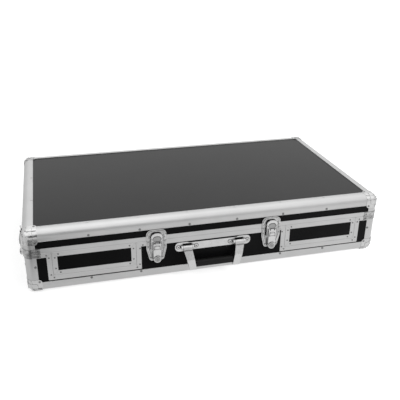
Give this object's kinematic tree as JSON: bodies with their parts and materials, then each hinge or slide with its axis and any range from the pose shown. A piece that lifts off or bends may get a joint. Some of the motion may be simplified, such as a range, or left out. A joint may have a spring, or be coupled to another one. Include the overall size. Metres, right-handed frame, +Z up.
{
  "type": "dj console case",
  "caption": "Flat carrying case with a hinged lid, draw latches, lift-out front panels, a drop handle and padded bays for two players and a mixer.",
  "frame": {"origin": "middle of the footprint with its hardware, on the surface that the case stands on", "axes": "+X to the case's right, +Y to the back, towards the hinges, +Z up; the handle is on -Y"},
  "size_m": [1.033, 0.607, 0.1804],
  "materials": {
    "laminate_board": "plywood faced with smooth black laminate, semi-gloss",
    "aluminium_profile": "silver anodised, fine lines along the extrusion",
    "corner_metal": "zinc-plated pressed steel, bright",
    "latch_metal": "nickel-plated pressed steel, bright",
    "bright_pin": "plated steel",
    "handle_metal": "zinc-plated steel, satin",
    "hinge_metal": "zinc-plated steel",
    "grip": "moulded, ribbed, matt",
    "foam": "dense grey-black foam"
  },
  "bodies": {
    "base": {"base_bottom_panel": "laminate_board", "base_front_wall": "laminate_board", "base_rear_wall": "laminate_board", "base_left_wall": "laminate_board", "base_right_wall": "laminate_board", "base_front_edge": "aluminium_profile", "base_rear_edge": "aluminium_profile", "base_left_edge": "aluminium_profile", "base_right_edge": "aluminium_profile", "base_corner_posts": "aluminium_profile", "base_rim": "aluminium_profile", "opening_frames": "aluminium_profile", "base_corner_caps": "corner_metal", "base_rim_brackets": "corner_metal", "base_lining": "foam", "bay_dividers": "laminate_board", "cable_bay_board": "laminate_board", "base_hinge_leaves": "hinge_metal", "hinge_pins": "bright_pin", "latch_plates": "latch_metal", "latch_lever_pins": "bright_pin", "handle_plate": "handle_metal", "handle_pins": "bright_pin"},
    "lid": {"lid_top_panel": "laminate_board", "lid_front_wall": "laminate_board", "lid_rear_wall": "laminate_board", "lid_left_wall": "laminate_board", "lid_right_wall": "laminate_board", "lid_front_edge": "aluminium_profile", "lid_rear_edge": "aluminium_profile", "lid_left_edge": "aluminium_profile", "lid_right_edge": "aluminium_profile", "lid_corner_posts": "aluminium_profile", "lid_rim": "aluminium_profile", "lid_corner_caps": "corner_metal", "lid_rim_brackets": "corner_metal", "lid_lining": "foam", "lid_hinge_leaves": "hinge_metal", "latch_keepers": "latch_metal"},
    "front_left_lever_body": {"front_left_lever": "latch_metal"},
    "front_left_loop_body": {"front_left_loop": "latch_metal"},
    "front_left_lock_body": {"front_left_lock": "bright_pin"},
    "front_right_lever_body": {"front_right_lever": "latch_metal"},
    "front_right_loop_body": {"front_right_loop": "latch_metal"},
    "front_right_lock_body": {"front_right_lock": "bright_pin"},
    "left_side_lever_body": {"left_side_lever": "latch_metal"},
    "left_side_loop_body": {"left_side_loop": "latch_metal"},
    "left_side_lock_body": {"left_side_lock": "bright_pin"},
    "right_side_lever_body": {"right_side_lever": "latch_metal"},
    "right_side_loop_body": {"right_side_loop": "latch_metal"},
    "right_side_lock_body": {"right_side_lock": "bright_pin"},
    "left_panel": {"left_panel_board": "laminate_board", "left_panel_frame": "aluminium_profile"},
    "right_panel": {"right_panel_board": "laminate_board", "right_panel_frame": "aluminium_profile"},
    "handle": {"handle_arms": "handle_metal", "handle_grip": "grip"}
  },
  "joints": [
    {"name": "lid_hinge", "type": "hinge", "parent": "base", "child": "lid", "pos_m": [0, 0.29398, 0.11605], "axis": [-1, 0, 0], "range_deg": [0, 105]},
    {"name": "front_left_lever_pivot", "type": "hinge", "parent": "base", "child": "front_left_lever_body", "pos_m": [-0.1585, -0.28902, 0.11005], "axis": [-1, 0, 0], "range_deg": [0, 100]},
    {"name": "front_left_loop_pivot", "type": "hinge", "parent": "front_left_lever_body", "child": "front_left_loop_body", "pos_m": [-0.1585, -0.28822, 0.09405], "axis": [-1, 0, 0], "range_deg": [-100, 0]},
    {"name": "front_left_lock_turn", "type": "hinge", "parent": "front_left_lever_body", "child": "front_left_lock_body", "pos_m": [-0.1585, -0.29702, 0.06505], "axis": [0, -1, 0], "range_deg": [0, 90]},
    {"name": "front_right_lever_pivot", "type": "hinge", "parent": "base", "child": "front_right_lever_body", "pos_m": [0.168, -0.28902, 0.11005], "axis": [-1, 0, 0], "range_deg": [0, 100]},
    {"name": "front_right_loop_pivot", "type": "hinge", "parent": "front_right_lever_body", "child": "front_right_loop_body", "pos_m": [0.168, -0.28822, 0.09405], "axis": [-1, 0, 0], "range_deg": [-100, 0]},
    {"name": "front_right_lock_turn", "type": "hinge", "parent": "front_right_lever_body", "child": "front_right_lock_body", "pos_m": [0.168, -0.29702, 0.06505], "axis": [0, -1, 0], "range_deg": [0, 90]},
    {"name": "left_side_lever_pivot", "type": "hinge", "parent": "base", "child": "left_side_lever_body", "pos_m": [-0.5085, -0.16052, 0.11005], "axis": [0, 1, 0], "range_deg": [0, 100]},
    {"name": "left_side_loop_pivot", "type": "hinge", "parent": "left_side_lever_body", "child": "left_side_loop_body", "pos_m": [-0.5077, -0.16052, 0.09405], "axis": [0, 1, 0], "range_deg": [-100, 0]},
    {"name": "left_side_lock_turn", "type": "hinge", "parent": "left_side_lever_body", "child": "left_side_lock_body", "pos_m": [-0.5165, -0.16052, 0.06505], "axis": [-1, 0, 0], "range_deg": [0, 90]},
    {"name": "right_side_lever_pivot", "type": "hinge", "parent": "base", "child": "right_side_lever_body", "pos_m": [0.5085, -0.16052, 0.11005], "axis": [0, -1, 0], "range_deg": [0, 100]},
    {"name": "right_side_loop_pivot", "type": "hinge", "parent": "right_side_lever_body", "child": "right_side_loop_body", "pos_m": [0.5077, -0.16052, 0.09405], "axis": [0, -1, 0], "range_deg": [-100, 0]},
    {"name": "right_side_lock_turn", "type": "hinge", "parent": "right_side_lever_body", "child": "right_side_lock_body", "pos_m": [0.5165, -0.16052, 0.06505], "axis": [1, 0, 0], "range_deg": [0, 90]},
    {"name": "left_panel_lift", "type": "slide", "parent": "base", "child": "left_panel", "axis": [0, 0, 1], "range_m": [0, 0.06]},
    {"name": "right_panel_lift", "type": "slide", "parent": "base", "child": "right_panel", "axis": [0, 0, 1], "range_m": [0, 0.06]},
    {"name": "handle_pivot", "type": "hinge", "parent": "base", "child": "handle", "pos_m": [0, -0.28602, 0.087], "axis": [-1, 0, 0], "range_deg": [0, 90]}
  ],
  "couplings": [
    {"joint": "front_left_loop_pivot", "follows": "front_left_lever_pivot", "ratio": -1},
    {"joint": "front_right_loop_pivot", "follows": "front_right_lever_pivot", "ratio": -1},
    {"joint": "left_side_loop_pivot", "follows": "left_side_lever_pivot", "ratio": -1},
    {"joint": "right_side_loop_pivot", "follows": "right_side_lever_pivot", "ratio": -1},
    {"joint": "left_panel_lift", "follows": "lid_hinge", "m_per_rad": 0.0327},
    {"joint": "right_panel_lift", "follows": "lid_hinge", "m_per_rad": 0.0327}
  ]
}
